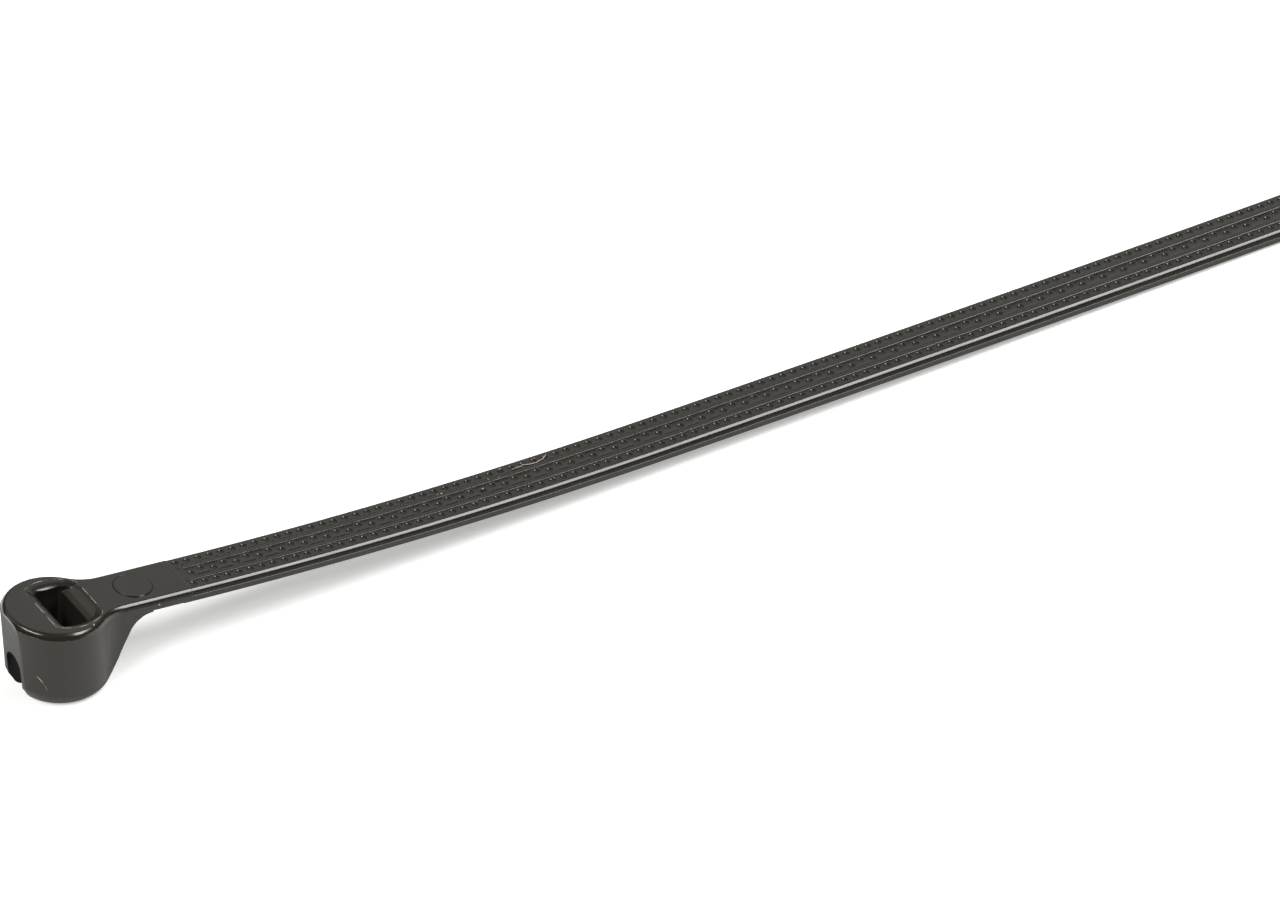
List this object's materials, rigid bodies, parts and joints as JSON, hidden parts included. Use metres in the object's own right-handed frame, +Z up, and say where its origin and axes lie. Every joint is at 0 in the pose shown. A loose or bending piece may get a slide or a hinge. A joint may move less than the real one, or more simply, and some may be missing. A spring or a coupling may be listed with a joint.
{
  "type": "cable tie",
  "caption": "Cable tie for bundling wires: a ribbed strap with a tapered tail, and a round head whose lipped slot holds a small steel locking barb.",
  "frame": {"origin": "middle of the head's flat foot, on the surface that the tie lies on", "axes": "+X along the strap from the head to the tail, +Y across the strap, +Z up, against the way in which the tail goes through the slot"},
  "size_m": [0.3394, 0.0122, 0.0109],
  "materials": {
    "nylon": "moulded satin",
    "steel": "stamped strip"
  },
  "bodies": {
    "root": {"tie_body": "nylon", "locking_barb": "steel"}
  },
  "joints": []
}
